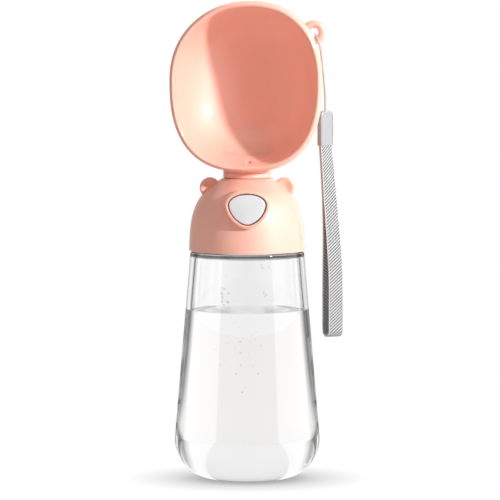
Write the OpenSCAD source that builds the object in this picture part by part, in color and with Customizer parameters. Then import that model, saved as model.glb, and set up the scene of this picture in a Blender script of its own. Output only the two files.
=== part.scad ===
// Travel water bottle for a dog: a clear bottle, a bear-head dispensing cap and a drinking cup.
// Millimetres. The origin is the centre of the foot on the table, +Z is up, and the nose
// button and the mouth of the cup face -Y. The cup stands a little turned, as photographed.

/* [Bottle] */
// Height of the bottle from the table to its shoulder
bottle_h = 117.4; // [105:0.1:140]
// Radius of the bottle where it is widest
belly_r = 37.4; // [34:0.1:42]
// Radius of the bottle at its shoulder
shoulder_r = 29.4; // [28.4:0.1:32]
// Radius of the ring that the bottle stands on
foot_r = 17; // [12:0.1:24]
// Height of the rounded corner above the foot
foot_h = 21; // [14:0.1:28]
// Wall thickness of the bottle
bottle_wall = 2.8; // [2:0.1:3.6]
// Thickness of the shoulder between the wall and the neck
shoulder_t = 1.5; // [1.2:0.1:2.4]
// Thickness of the bottle's floor
floor_t = 5; // [3:0.1:8]
// Depth of the hollow under the foot
punt_h = 1.2; // [0.4:0.1:2]

/* [Screw neck] */
// Radius of the screw neck without its thread
neck_r = 23; // [22:0.1:23.4]
// Wall thickness of the screw neck
neck_wall = 2.6; // [1.8:0.1:3]
// Height of the screw neck above the shoulder
neck_h = 10.4; // [10:0.1:13]
// Rise of the thread in one turn
thread_pitch = 3.6; // [3:0.1:4]
// Turns of thread on the neck and in the cap
thread_turns = 1.5; // [1:0.25:1.5]
// Height of the thread ridge above the neck
thread_depth = 1.2; // [0.8:0.1:1.3]
// Height of the first thread above the shoulder
thread_start = 1.5; // [1.2:0.1:2]
// Gap between the two threads, and between crest and wall
thread_gap = 0.35; // [0.3:0.05:0.5]
// Thickness of the mouth gasket
gasket_t = 1.4; // [1:0.1:2]

/* [Head] */
// Height of the bear head from its lower edge to the cup's neck
head_h = 37.4; // [36:0.1:42]
// Radius of the head at its lower edge
head_r = 29.95; // [29.4:0.05:32]
// Radius of the head's small flat top
head_top_r = 12.7; // [12.5:0.1:14]
// Wall thickness of the head
head_wall = 2.2; // [1.6:0.1:2.4]
// Wall thickness of the skirt round the screw collar
skirt_wall = 2.75; // [2.4:0.05:3]
// Gap between the head's lower edge and the shoulder
head_gap = 0.7; // [0.4:0.1:1.2]
// Radius of an ear
ear_r = 5.3; // [4:0.1:6.5]
// Thickness of an ear from front to back
ear_t = 6.4; // [4:0.1:8]
// Distance of an ear's centre from the axis
ear_x = 19.2; // [18:0.1:21]
// Height of an ear's centre above the head's lower edge
ear_z = 32.4; // [30:0.1:34]

/* [Nose button] */
// Width of the nose button's opening
nose_w = 19.8; // [16:0.1:22]
// Height of the opening above its widest level
nose_up = 5.9; // [5:0.1:7]
// Depth of the opening below its widest level
nose_down = 10.5; // [9:0.1:11]
// Height of the opening's widest level above the head's lower edge
nose_z = 25.3; // [24.2:0.1:26]
// Width of the snout's rim round the opening
snout_rim = 1.6; // [1.2:0.1:2]
// Distance of the snout's face from the axis
snout_y = 31.6; // [31:0.1:34]
// Gap between the button and the opening
nose_gap = 0.55; // [0.3:0.05:0.8]
// Thickness of the button at its edge
nose_t = 3.6; // [2.4:0.1:4.5]
// Travel of the button
press = 3.5; // [2:0.1:3.6]

/* [Valve] */
// Thickness of the deck that closes the bottle
deck_t = 2.2; // [1.8:0.1:2.6]
// Thickness of the gasket under the valve
valve_gasket_t = 0.8; // [0.5:0.1:1.2]
// Radius of the push rod
rod_r = 2.4; // [2:0.1:2.6]
// Radius of the rod's waist in the water way
waist_r = 1.5; // [1.2:0.1:1.8]
// Radius of the hole that the seal closes
seat_r = 3; // [2.6:0.1:3.4]
// Radius of the silicone seal
seal_r = 4.3; // [3.8:0.1:4.5]
// Radius of the water chamber
chamber_r = 5.2; // [5:0.1:5.4]
// Wall thickness of the valve's barrels
valve_wall = 1.8; // [1.4:0.1:2]
// Wire diameter of the return spring
spring_wire = 0.5; // [0.4:0.05:0.6]
// Running clearance of the rod and the neck
fit = 0.05; // [0.02:0.01:0.1]

/* [Cup] */
// Half the width of the cup's body
cup_w = 39.3; // [36:0.05:42]
// Height of the cup above its widest level
cup_up = 40.6; // [36:0.1:44]
// Depth of the cup below its widest level
cup_down = 47; // [44:0.1:50]
// Depth of the cup from its rim to its back
cup_depth = 36; // [34:0.1:38]
// Wall thickness at the back of the cup
cup_wall = 2.2; // [1.8:0.1:3]
// Width from the cup's opening to its widest outline
rim_w = 2.7; // [2.3:0.1:3.2]
// Step from the lip to the widest outline
rim_step = 1; // [0.6:0.1:1.2]
// Distance of the rim in front of the neck's axis
rim_y = 18; // [17:0.1:20]
// Turn of the cup on its neck, as photographed
cup_turn = -3.2; // [-10:0.1:10]
// How far the cup's top bends towards the strap's side
cup_skew = 2.2; // [0:0.1:3]
// Radius of the water outlet in the cup
outlet_r = 1.7; // [1.2:0.1:2]

/* [Neck] */
// Radius of the cup's neck
stem_r = 12.4; // [12:0.1:12.4]
// Height of the neck's visible ring
stem_h = 2.8; // [2:0.1:4]
// Radius of the spigot that turns in the head
spigot_r = 10.2; // [10:0.1:10.4]
// Wall thickness of the socket round the spigot
socket_wall = 2.2; // [1.6:0.1:2.4]
// Gap between the neck's ring and the head
stem_gap = 0.3; // [0.3:0.1:0.6]

/* [Lanyard] */
// Distance of the eye's centre in from the cup's widest side
eye_in = 5; // [4.5:0.1:5.4]
// Distance of the eye's centre below the top of the cup
eye_drop = 16.5; // [15.8:0.1:17.2]
// Distance of the eye behind the rim
eye_y = 18.9; // [18:0.1:20]
// Radius of the middle of the eye's ring
eye_r = 4.3; // [4:0.1:4.6]
// Radius of the ring's round section
eye_section = 2; // [1.8:0.1:2.2]
// Diameter of the cord
cord_d = 1.1; // [0.8:0.1:1.2]
// Width of the strap's webbing
strap_w = 8.4; // [6:0.1:9]
// Thickness of the webbing
strap_t = 0.9; // [0.6:0.1:1.2]
// Length of the hanging strap loop
strap_h = 99; // [80:1:99]
// Width of the clamp on the strap
clamp_w = 9.6; // [9.4:0.1:11]
// Thickness of the clamp
clamp_t = 3.2; // [3:0.1:3.6]
// Height of the clamp
clamp_h = 17.8; // [14:0.1:20]

/* [Hidden] */
$fn = 96;
eps = 0.01;

peach = [0.95, 0.72, 0.63];
white = [0.93, 0.93, 0.94];
clear = [0.85, 0.92, 0.95, 0.35];
silicone = [0.88, 0.89, 0.88];
steel = [0.7, 0.71, 0.73];
webbing = [0.78, 0.78, 0.78];

// Heights of the bottle's mouth and of the deck over it
mouth_z = bottle_h + neck_h;
deck_z = mouth_z + gasket_t;
deck_top = deck_z + deck_t;
bore_r = neck_r - neck_wall;
crest_r = neck_r + thread_depth;
collar_r = crest_r + thread_gap;
thread_w = thread_pitch - 2 * thread_gap;
slack = 0.05;
snug = 0.02;

// Levels of the head
head_z = bottle_h + head_gap;
head_top = head_z + head_h;
skirt_r = head_r - skirt_wall;
ledge = 1.7;
nose_level = head_z + nose_z;
rod_z = nose_level - 2.1;
foot_z = deck_top + valve_gasket_t;

// Places along the valve's axis, from the nose to the back
bush_y = -14;
ring_y = -12.6;
guide_y = -7;
seat_y = -1;
seat_t = 2;
chamber_y = seat_y + seat_t;
seal_t = 3.2;
flange_t = 1;
plug_y = 13;
plug_t = 2;
barrel_r = chamber_r + valve_wall;
front_r = 5.2;
outlet_chamber_r = 3.4;
inlet_y = 7.5;
inlet_r = 2.2;
riser_y = -3.2;
riser_r = 1.9;
screw_x = 12;
screw_r = 1;
screw_head_r = 1.9;
plate_t = 1.8;
plate_y = [-10.5, 12.5];
vent_y = -14.6;
button_boss_r = 3.8;
socket_depth = 3;

// Levels of the neck: the spigot ends just above the valve
spigot_z = rod_z + barrel_r + 0.5;
socket_z = spigot_z + 1.4;
clip_z = spigot_z + 0.35;
clip_t = 0.7;
ring_section = 1.1;
nozzle_r = 5.6;
nozzle_bore = 3.6;
nozzle_section = 1.5;
neck_bore = 4.5 + nozzle_section + slack;
water_bore = 4.2;
stem_z = head_top + stem_gap;
stem_top = stem_z + stem_h;
plug_r = 5.8;
plug_top = stem_top + 2.8;

// The cup: rings of its skin, counted back from the rim
cup_z = stem_top + 0.8 + cup_down;
cup_n = 64;
bulge_u = 6.5;
lip_w = rim_w - rim_step;
inside_depth = cup_depth - cup_wall;
outlet_y = -5.4;
outlet_x = 0.6;

// Where the eye's centre stands, and the cord's path from the clamp through it and back, from there
eye_x = cup_w - eye_in;
eye_z = cup_up - eye_drop;
eye_back = eye_y - rim_y;
eye_at = [
    eye_x * cos(cup_turn) - eye_back * sin(cup_turn),
    eye_x * sin(cup_turn) + eye_back * cos(cup_turn),
    cup_z + eye_z
];
cord_route = [
    for (p = [
        [6, 3.8, -42.9], [6, 3.8, -40.3], [6, 3.2, -36.5], [5.7, 1.8, -29.5], [4.9, -0.2, -21],
        [4.1, -1.9, -13.5], [3.3, -2.9, -7.7], [2.5, -3, -5.1], [1.7, -2.7, -2.9],
        [0.9, -1.5, -1.4], [0.7, 0, -1.2], [0.9, 1.45, -1.4], [1.7, 2.6, -2.9],
        [2.5, 2.9, -5.1], [3.3, 3.1, -7.9], [4.1, 3.3, -13.5], [4.9, 3.9, -21],
        [5.7, 4.6, -29.5], [6, 5.2, -36.5], [6, 5.4, -40.3], [6, 5.4, -42.9]
    ])
        eye_at + p
];
clamp_at = eye_at + [6, 4.6, -58.5];
clamp_turn = 47;

// A point of a cubic curve, and the unit normal on its left
function curve(p, t) =
    pow(1 - t, 3) * p[0] + 3 * pow(1 - t, 2) * t * p[1] + 3 * (1 - t) * t * t * p[2] + pow(t, 3) * p[3];
function slope(p, t) =
    3 * pow(1 - t, 2) * (p[1] - p[0]) + 6 * (1 - t) * t * (p[2] - p[1]) + 3 * t * t * (p[3] - p[2]);
function left_of(v) = [-v.y, v.x] / norm(v);

// An egg-shaped outline with its own height and fullness above and below the widest level
function power(v, n) = sign(v) * pow(abs(v), 2 / n);
function egg(w, up, down, n_up, n_down, count) = [
    for (k = [0:count - 1])
        let (a = 360 * (k + 0.5) / count, n = sin(a) > 0 ? n_up : n_down)
        [w * power(cos(a), n), (sin(a) > 0 ? up : down) * power(sin(a), n)]
];

// A closed solid skinned over rings that all have the same number of points
module skin(rings) {
    n = len(rings[0]);
    last = len(rings) - 1;
    points = [for (ring = rings) for (p = ring) p];
    sides = [
        for (i = [0:last - 1])
            for (k = [0:n - 1])
                let (a = i * n + k, b = i * n + (k + 1) % n)
                for (f = [[a, b, b + n], [a, b + n, a + n]])
                    f
    ];
    ends = [[for (k = [n - 1:-1:0]) k], [for (k = [0:n - 1]) last * n + k]];
    polyhedron(points, concat(sides, ends), convexity = 6);
}

// A round bar from one point along Y
module along_y(r, y0, y1, z = 0, x = 0) {
    translate([x, y0, z])
        rotate([-90, 0, 0])
            cylinder(r = r, h = y1 - y0);
}

module ring(r, section, z = 0) {
    translate([0, 0, z])
        rotate_extrude()
            translate([r, 0])
                circle(d = section, $fn = 24);
}

module tube(outside, inside, z0, z1) {
    translate([0, 0, z0])
        difference() {
            cylinder(r = outside, h = z1 - z0);
            translate([0, 0, -1])
                cylinder(r = inside, h = z1 - z0 + 2);
        }
}

// A thread ridge on a wall of radius r, standing out by a positive depth and in by a negative one
module thread(r, depth, z0, turns) {
    steps = 30 * turns;
    root = thread_w / 2;
    crest = thread_w / 4.4;
    hold = depth > 0 ? -0.5 : 0.5;
    skin([
        for (i = [0:steps])
            let (
                a = 12 * i,
                z = z0 + root + thread_pitch * a / 360,
                run = min(1, 0.08 + i / 3, 0.08 + (steps - i) / 3),
                profile = [[r + hold, -root * run], [r + hold, root * run],
                           [r + depth * run, crest * run], [r + depth * run, -crest * run]],
                order = depth > 0 ? [0, 3, 2, 1] : [0, 1, 2, 3]
            )
            [for (k = order) [profile[k].x * cos(a), profile[k].x * sin(a), z + profile[k].y]]
    ]);
}

// Bottle
function foot_corner(inset, steps) =
    let (
        w = belly_r - foot_r,
        lean = atan((belly_r - shoulder_r) / (bottle_h - foot_h) * foot_h / w),
        base = inset > 0 ? floor_t : 0
    )
    [
        for (i = [0:steps])
            let (a = -90 + (90 + lean) * i / steps)
            [foot_r + (w - inset) * cos(a), foot_h + (foot_h - base) * sin(a)]
    ];

module bottle_body() {
    edge = 0.8;
    outside = concat(
        [[0, punt_h], [foot_r - 3, punt_h], [foot_r - 1.4, 0]],
        foot_corner(0, 14),
        [[shoulder_r, bottle_h - edge], [shoulder_r - 0.3 * edge, bottle_h - 0.3 * edge],
         [shoulder_r - edge, bottle_h], [neck_r, bottle_h],
         [neck_r, mouth_z - 0.5], [neck_r - 0.5, mouth_z]]
    );
    inside = concat(
        [[0, floor_t]],
        foot_corner(bottle_wall, 14),
        [[shoulder_r - bottle_wall, bottle_h - shoulder_t - 1.5],
         [shoulder_r - bottle_wall - 0.45, bottle_h - shoulder_t - 0.45],
         [shoulder_r - bottle_wall - 1.5, bottle_h - shoulder_t],
         [bore_r + 0.6, bottle_h - shoulder_t], [bore_r, bottle_h - shoulder_t + 0.6],
         [bore_r, mouth_z - 0.5], [bore_r + 0.5, mouth_z]]
    );
    color(clear) {
        rotate_extrude()
            polygon(concat(outside, [for (i = [len(inside) - 1:-1:0]) inside[i]]));
        thread(neck_r, thread_depth, bottle_h + thread_start, thread_turns);
    }
}

module mouth_gasket() {
    color(silicone)
        tube(crest_r - 0.2, bore_r + 0.4, mouth_z + slack, deck_z - slack);
}

// Head
head_curve = [
    [head_r, head_z],
    [head_r, head_z + 0.59 * head_h],
    [head_top_r + 13.4, head_top - 8.5],
    [head_top_r, head_top]
];
socket_bore = spigot_r + fit;

function head_line(inset) = [
    for (i = [0:20])
        curve(head_curve, i / 20) + inset * left_of(slope(head_curve, i / 20))
];

function nose_outline(grow) =
    egg(nose_w / 2 + grow, nose_up + grow, nose_down + grow, 2.1, 1.7, 48);

function nose_ring(grow, y) = [for (p = nose_outline(grow)) [p.x, y, nose_level + p.y]];

module ear(side) {
    dish = ear_r - 1.3;
    r = 1.8;
    translate([side * ear_x, 0, head_z + ear_z])
        rotate([90, 0, 0])
            rotate_extrude()
                polygon(concat(
                    [[0, -ear_t / 2]],
                    [for (a = [-90:15:0]) [ear_r - r + r * cos(a), -ear_t / 2 + r + r * sin(a)]],
                    [for (a = [0:15:90]) [ear_r - r + r * cos(a), ear_t / 2 - r + r * sin(a)]],
                    [[dish, ear_t / 2 - 0.1], [dish - 0.9, ear_t / 2 - 0.8], [0, ear_t / 2 - 1.1]]
                ));
}

module head_shell() {
    inner = [for (p = head_line(head_wall)) if (p.y > deck_top + 1) p];
    snap_z = deck_z - 6;
    color(peach) {
        difference() {
            union() {
                rotate_extrude()
                    polygon(concat(head_line(0), [[0, head_top], [0, head_z]]));
                for (side = [-1, 1])
                    ear(side);
                skin([
                    nose_ring(snout_rim - 0.6, -snout_y),
                    nose_ring(snout_rim - 0.15, 0.25 - snout_y),
                    nose_ring(snout_rim + 0.2, 0.8 - snout_y),
                    nose_ring(snout_rim + 1.4, -15)
                ]);
            }
            rotate_extrude()
                polygon(concat(
                    [[0, head_z - 1], [skirt_r, head_z - 1], [skirt_r, snap_z - 0.5],
                     [skirt_r + 0.3, snap_z], [skirt_r, snap_z + 0.5], [skirt_r, deck_top],
                     [skirt_r - ledge, deck_top], [inner[0].x - 0.2, deck_top + 0.8]],
                    inner,
                    [[0, inner[len(inner) - 1].y]]
                ));
            skin([
                nose_ring(0.35, -snout_y - 0.2),
                nose_ring(0, 0.5 - snout_y),
                nose_ring(0, -12)
            ]);
            translate([0, 0, head_top - 10])
                cylinder(r = socket_bore, h = 20);
        }
        tube(socket_bore + socket_wall, socket_bore, socket_z, head_top - head_wall + 0.4);
    }
}

module screw_collar() {
    outside = skirt_r - slack;
    lower = head_z + 0.8;
    snap_z = deck_z - 6;
    color(white)
        difference() {
            union() {
                rotate_extrude()
                    polygon([
                        [collar_r, lower], [outside - 0.4, lower], [outside, lower + 0.4],
                        [outside, snap_z - 0.4], [outside + 0.25, snap_z],
                        [outside, snap_z + 0.4], [outside, deck_top], [0, deck_top],
                        [0, deck_z], [bore_r - 2.2, deck_z], [bore_r - 2.2, deck_z - 2.6],
                        [bore_r - 0.7, deck_z - 2.6], [bore_r - 0.4, deck_z - 2.2],
                        [bore_r - 0.4, deck_z], [collar_r, deck_z]
                    ]);
                thread(collar_r, -thread_depth, bottle_h + thread_start + thread_pitch / 2,
                    thread_turns - 0.5);
                for (side = [-1, 1])
                    translate([side * screw_x, 0, deck_z - 3])
                        cylinder(r = screw_r + 1.6, h = 3 + eps);
            }
            translate([0, inlet_y, deck_z - 1])
                cylinder(r = inlet_r, h = deck_t + 2);
            for (side = [-1, 1])
                translate([side * screw_x, 0, deck_z - 2.2])
                    cylinder(r = screw_r, h = deck_t + 3);
            translate([0, vent_y, deck_z - 1])
                cylinder(r = 0.9, h = deck_t + 2);
            for (a = [45:90:315])
                translate([1.9 * cos(a), vent_y + 1.9 * sin(a), deck_z - 1])
                    cylinder(r = 0.5, h = deck_t + 2);
        }
}

module vent_valve() {
    color(silicone)
        translate([0, vent_y, 0])
            rotate_extrude()
                polygon([
                    [0, deck_z - 1.1], [1.2, deck_z - 1], [3.1, deck_z - 0.5], [3.1, deck_z],
                    [0.9, deck_z], [0.9, deck_top], [1.5, deck_top], [1, deck_top + 1.6],
                    [0, deck_top + 1.6]
                ]);
}

// Valve
module plate_outline(grow) {
    square([2 * 8.6 + 2 * grow, plate_y[1] - plate_y[0] + 2 * grow], center = true);
}

module valve_plate(z, t, hole) {
    middle = (plate_y[0] + plate_y[1]) / 2;
    difference() {
        union() {
            translate([0, middle, z])
                linear_extrude(t)
                    plate_outline(0);
            for (side = [-1, 1]) {
                translate([side * screw_x, 0, z])
                    cylinder(r = 3, h = t);
                translate([side * screw_x / 2, 0, z + t / 2])
                    cube([screw_x, 6, t], center = true);
            }
        }
        for (side = [-1, 1])
            translate([side * screw_x, 0, z - 1])
                cylinder(r = hole, h = t + 2);
        translate([0, inlet_y, z - 1])
            cylinder(r = inlet_r, h = t + 2);
    }
}

module valve_body() {
    nozzle_top = socket_z + 3;
    groove_z = nozzle_top - 1 - nozzle_section;
    color(white)
        difference() {
            union() {
                valve_plate(foot_z, plate_t, screw_r + 0.1);
                translate([-front_r, plate_y[0], foot_z])
                    cube([2 * front_r, plate_y[1] - plate_y[0], rod_z - foot_z]);
                along_y(front_r, bush_y, seat_y, rod_z);
                along_y(barrel_r, seat_y - 1, plug_y, rod_z);
                translate([0, 0, rod_z])
                    cylinder(r = nozzle_r, h = nozzle_top - rod_z);
            }
            along_y(rod_r + fit, bush_y - 1, guide_y + eps, rod_z);
            along_y(4, bush_y - 1, ring_y + 1.6, rod_z);
            along_y(outlet_chamber_r, guide_y, seat_y, rod_z);
            along_y(seat_r, seat_y - eps, chamber_y + eps, rod_z);
            along_y(chamber_r, chamber_y, plug_y + 1, rod_z);
            translate([0, inlet_y, foot_z - 1])
                cylinder(r = inlet_r, h = rod_z - foot_z);
            translate([0, riser_y, rod_z])
                cylinder(r = riser_r, h = barrel_r + 1);
            translate([0, 0, rod_z + barrel_r - 0.6])
                cylinder(r = nozzle_bore, h = 20);
            tube(nozzle_r + 1, nozzle_r - 1.1, groove_z, groove_z + nozzle_section + 0.1);
        }
}

module valve_gasket() {
    color(silicone)
        valve_plate(deck_top, valve_gasket_t, screw_r + 0.1);
}

module valve_screws() {
    head_z0 = foot_z + plate_t;
    color(steel)
        for (side = [-1, 1])
            translate([side * screw_x, 0, 0])
                difference() {
                    union() {
                        translate([0, 0, deck_z - 1.8])
                            cylinder(r = screw_r - snug, h = head_z0 - deck_z + 1.9);
                        translate([0, 0, head_z0])
                            cylinder(r1 = screw_head_r, r2 = screw_head_r - 0.4, h = 1.2);
                    }
                    for (a = [0, 90])
                        translate([0, 0, head_z0 + 1])
                            rotate([0, 0, a])
                                cube([2.2, 0.5, 1], center = true);
                }
}

module chamber_plug() {
    pocket = 1.4;
    color(white)
        difference() {
            union() {
                along_y(chamber_r - slack, plug_y - 2.6, plug_y, rod_z);
                along_y(barrel_r, plug_y, plug_y + plug_t, rod_z);
            }
            along_y(chamber_r - 1.4, plug_y - 3, plug_y - 2.6 + pocket, rod_z);
            translate([0, plug_y + plug_t, rod_z])
                cube([7, 1.4, 1.2], center = true);
            translate([0, plug_y - 0.7, rod_z])
                rotate([90, 0, 0])
                    tube(chamber_r + 1, chamber_r - 1, -0.5, 0.5);
        }
}

module chamber_o_ring() {
    color(silicone)
        translate([0, plug_y - 0.7, rod_z])
            rotate([90, 0, 0])
                ring(chamber_r - 0.5, 0.9);
}

// The return spring, wound as one tube between the rod's flange and the plug
spring_y0 = chamber_y + seal_t + flange_t + 0.1;
spring_y1 = plug_y - 1.3;
spring_r = 2.9;
spring_turns = 4.5;

module return_spring() {
    steps = 8 * spring_turns;
    half = spring_wire / 2;
    y0 = spring_y0 + half;
    run = spring_y1 - half - y0;
    color(steel)
        skin([
            for (i = [0:steps])
                let (a = 45 * i, y = y0 + run * i / steps)
                [
                    for (b = [0:60:300])
                        let (r = spring_r + half * cos(b))
                        [r * cos(a), y + half * sin(b), rod_z - r * sin(a)]
                ]
        ]);
}

module rod_o_ring() {
    color(silicone)
        translate([0, ring_y + 0.8, rod_z])
            rotate([90, 0, 0])
                ring(rod_r + 0.05 + 0.7, 1.4);
}

module rod_bush() {
    color(white)
        translate([0, ring_y - 0.05, rod_z])
            rotate([90, 0, 0])
                tube(4 - snug, rod_r + fit, 0, ring_y - bush_y + 0.55);
}

// Button
module nose_button() {
    face = 0.3 - snout_y;
    crown = 0.5;
    color(white)
        difference() {
            union() {
                skin([
                    nose_ring(-nose_gap - 4.6, face - crown),
                    nose_ring(-nose_gap - 2.6, face - 0.6 * crown),
                    nose_ring(-nose_gap - 0.7, face),
                    nose_ring(-nose_gap - 0.2, face + 0.2),
                    nose_ring(-nose_gap, face + 0.6),
                    nose_ring(-nose_gap, face + nose_t - 0.3),
                    nose_ring(-nose_gap - 0.25, face + nose_t)
                ]);
                along_y(button_boss_r, face + nose_t - 1, face + nose_t + socket_depth, rod_z);
            }
            along_y(rod_r + snug, face + nose_t, face + nose_t + socket_depth + 1, rod_z);
        }
}

module push_rod() {
    front = 0.3 - snout_y + nose_t;
    back = chamber_y + seal_t;
    color(white) {
        along_y(rod_r, front, guide_y, rod_z);
        along_y(waist_r, guide_y - 1, back + 1, rod_z);
        along_y(seal_r - 0.9, back, back + flange_t, rod_z);
        along_y(waist_r, back, back + flange_t + 2, rod_z);
    }
}

module poppet_seal() {
    front = chamber_y + slack;
    color(silicone)
        translate([0, front, rod_z])
            rotate([-90, 0, 0])
                rotate_extrude()
                    polygon([
                        [waist_r + snug, -0.8], [seat_r - 0.9, -0.8], [seat_r - 0.3, 0],
                        [seal_r - 0.4, 0], [seal_r, 0.4], [seal_r, 1.6],
                        [seal_r - 0.8, seal_t - slack], [waist_r + snug, seal_t - slack]
                    ]);
}

// Neck of the cup
module stem() {
    groove = ring_section + 0.15;
    color(peach)
        difference() {
            union() {
                translate([0, 0, stem_z])
                    rotate_extrude()
                        polygon([
                            [0, 0], [stem_r - 0.3, 0], [stem_r, 0.3], [stem_r, stem_h - 0.4],
                            [stem_r - 0.4, stem_h], [0, stem_h]
                        ]);
                translate([0, 0, spigot_z])
                    cylinder(r = spigot_r, h = stem_z - spigot_z + eps);
                translate([0, 0, stem_top - eps])
                    cylinder(r = plug_r, h = plug_top - stem_top + eps);
            }
            translate([0, 0, spigot_z - 1])
                cylinder(r = neck_bore, h = socket_z + 4 - spigot_z + 1);
            translate([0, 0, spigot_z])
                cylinder(r = water_bore, h = 30);
            tube(spigot_r + 1, spigot_r - 1.2, clip_z - 0.05, clip_z + clip_t + 0.05);
            tube(spigot_r + 1, spigot_r - ring_section, socket_z + 2.6, socket_z + 2.6 + groove);
        }
}

module stem_o_ring() {
    color(silicone)
        ring(spigot_r - ring_section / 2, ring_section - 0.02, socket_z + 2.6 + ring_section / 2 + 0.07);
}

module stem_clip() {
    reach = 2 * spigot_r;
    color(steel)
        difference() {
            tube(spigot_r + 1.4, spigot_r - 1.15, clip_z, clip_z + clip_t);
            translate([0, 0, clip_z - 1])
                linear_extrude(clip_t + 2)
                    polygon([[0, 0], [reach, -0.45 * reach], [reach, 0.45 * reach]]);
        }
}

module cup_gasket() {
    color(silicone)
        tube(plug_r + 2.4, plug_r + 0.05, stem_top, stem_top + 0.8);
}

// Cup
function cup_ring(u, inset, scale) = [
    for (p = egg(scale * (cup_w - inset), scale * (cup_up - inset), scale * (cup_down - inset),
                 2.16, 2.53, cup_n))
        [p.x + cup_skew * pow(max(0, p.y) / cup_up, 2), u - rim_y, p.y]
];
function shrink(share, n) = pow(1 - pow(min(share, 0.9999), n), 1 / n);

function outside_rings() = concat(
    [cup_ring(0, rim_step + lip_w / 2, 1), cup_ring(0.25, rim_step + 0.25, 1),
     cup_ring(0.9, rim_step, 1), cup_ring(2.6, rim_step, 1), cup_ring(3, rim_step / 2, 1),
     cup_ring(3.6, rim_step / 5, 1), cup_ring(bulge_u, 0, 1)],
    [
        for (a = [12:12:84])
            let (share = sin(a))
            cup_ring(bulge_u + (cup_depth - bulge_u) * share, 0, shrink(share, 2))
    ],
    [cup_ring(cup_depth, 0, 0.03)]
);

function inside_rings() = concat(
    [cup_ring(-0.6, rim_w - 1, 1), cup_ring(0.3, rim_w - 0.25, 1), cup_ring(1, rim_w, 1)],
    [
        for (a = [9:9:81])
            let (share = sin(a))
            cup_ring(inside_depth * share, rim_w, shrink(share, 2.4))
    ],
    [cup_ring(inside_depth, rim_w, 0.05)]
);

module cup_place() {
    rotate([0, 0, cup_turn])
        translate([0, 0, cup_z])
            children();
}

module cup() {
    boss_top = cup_z - 0.55 * cup_down;
    color(peach)
        difference() {
            union() {
                cup_place()
                    skin(outside_rings());
                translate([0, 0, stem_top])
                    cylinder(r = stem_r, h = boss_top - stem_top);
                cup_place()
                    translate([eye_x, eye_y - rim_y, eye_z])
                        rotate([90, 0, 0])
                            rotate_extrude()
                                translate([eye_r, 0])
                                    circle(r = eye_section, $fn = 32);
            }
            cup_place()
                skin(inside_rings());
            translate([0, 0, stem_top - 1])
                cylinder(r = plug_r + snug, h = plug_top - stem_top + 1.5);
            translate([0, 0, stem_top - 1])
                cylinder(r = plug_r + 2.6, h = 1.8);
            translate([outlet_x, outlet_y, plug_top - 1])
                cylinder(r = outlet_r, h = 10);
        }
}

// Lanyard
module lanyard_cord() {
    n = len(cord_route);
    color(webbing)
        skin([
            for (i = [0:n - 1])
                let (
                    d = cord_route[min(i + 1, n - 1)] - cord_route[max(i - 1, 0)],
                    t = d / norm(d),
                    across = cross(t, [1, 0.2, 0.1]),
                    side = across / norm(across),
                    up = cross(side, t)
                )
                [for (a = [0:45:315]) cord_route[i] + cord_d / 2 * (cos(a) * side + sin(a) * up)]
        ]);
}

// A rounded rectangle as a ring of points, clockwise from above
function rounded(w, t, r, z) = [
    for (c = [[1, 1, 90], [1, -1, 0], [-1, -1, -90], [-1, 1, -180]])
        for (k = [0:3])
            let (a = c[2] - 30 * k)
            [c.x * (w / 2 - r) + r * cos(a), c.y * (t / 2 - r) + r * sin(a), z]
];

module strap_clamp() {
    r = 0.8;
    taper = 2.6;
    color(white)
        translate(clamp_at)
            rotate([0, 0, clamp_turn])
                difference() {
                    skin(concat(
                        [
                            for (a = [0:30:90])
                                let (w = 0.5 * (1 - sin(a)))
                                rounded(clamp_w - 2 * w, clamp_t - 2 * w, r, 0.5 * (1 - cos(a)))
                        ],
                        [
                            for (a = [0:15:75])
                                let (w = 1.8 * (1 - cos(a)), t = 0.3 * (1 - cos(a)))
                                rounded(clamp_w - 2 * w, clamp_t - 2 * t, r, clamp_h - taper * (1 - sin(a)))
                        ]
                    ));
                    translate([0, 0, 3])
                        cube([strap_w + 0.1, 2 * strap_t + 2 * strap_hold, 8], center = true);
                    for (p = [cord_route[0], cord_route[len(cord_route) - 1]])
                        rotate([0, 0, -clamp_turn])
                            translate([0, p.y - clamp_at.y, clamp_h - 3])
                                cylinder(r = cord_d / 2 + 2 * slack, h = 6);
                }
}

// The strap hangs as a loop: how far its two bands stand apart, and how much they twist
strap_spread = 5.9;
strap_hold = 0.06;
strap_drop = strap_h - (strap_t + strap_hold + strap_spread + strap_t) / 2;
function strap_gap(s) =
    strap_t + strap_hold + strap_spread * pow(sin(90 * min(1, s / 0.82)), 4);
function strap_twist(s) = clamp_turn - 20 * sin(90 * min(1, s / 0.8));
function strap_mid(s) = clamp_at + [3.9 * sin(90 * min(1, s / 0.8)), 0, -s * strap_drop];

module wrist_strap() {
    bands = 20;
    fold = 8;
    held = 6;
    path = concat(
        [[0, 90, held]],
        [for (i = [0:bands]) [i / bands, 90, 0]],
        [for (i = [1:fold - 1]) [1, 90 - 180 * i / fold, 0]],
        [for (i = [bands:-1:0]) [i / bands, -90, 0]],
        [[0, -90, held]]
    );
    color(webbing)
        skin([
            for (p = path)
                let (
                    s = p[0],
                    twist = strap_twist(s),
                    across = [cos(twist), sin(twist), 0],
                    out = [sin(twist), -cos(twist), 0],
                    reach = strap_gap(s) / 2,
                    normal = sin(p[1]) * out - [0, 0, cos(p[1])],
                    centre = strap_mid(s) + reach * normal + [0, 0, p[2]]
                )
                [
                    for (c = [[-1, -1], [-1, 1], [1, 1], [1, -1]])
                        centre + c.x * strap_w / 2 * across + c.y * strap_t / 2 * normal
                ]
        ]);
}

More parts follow.
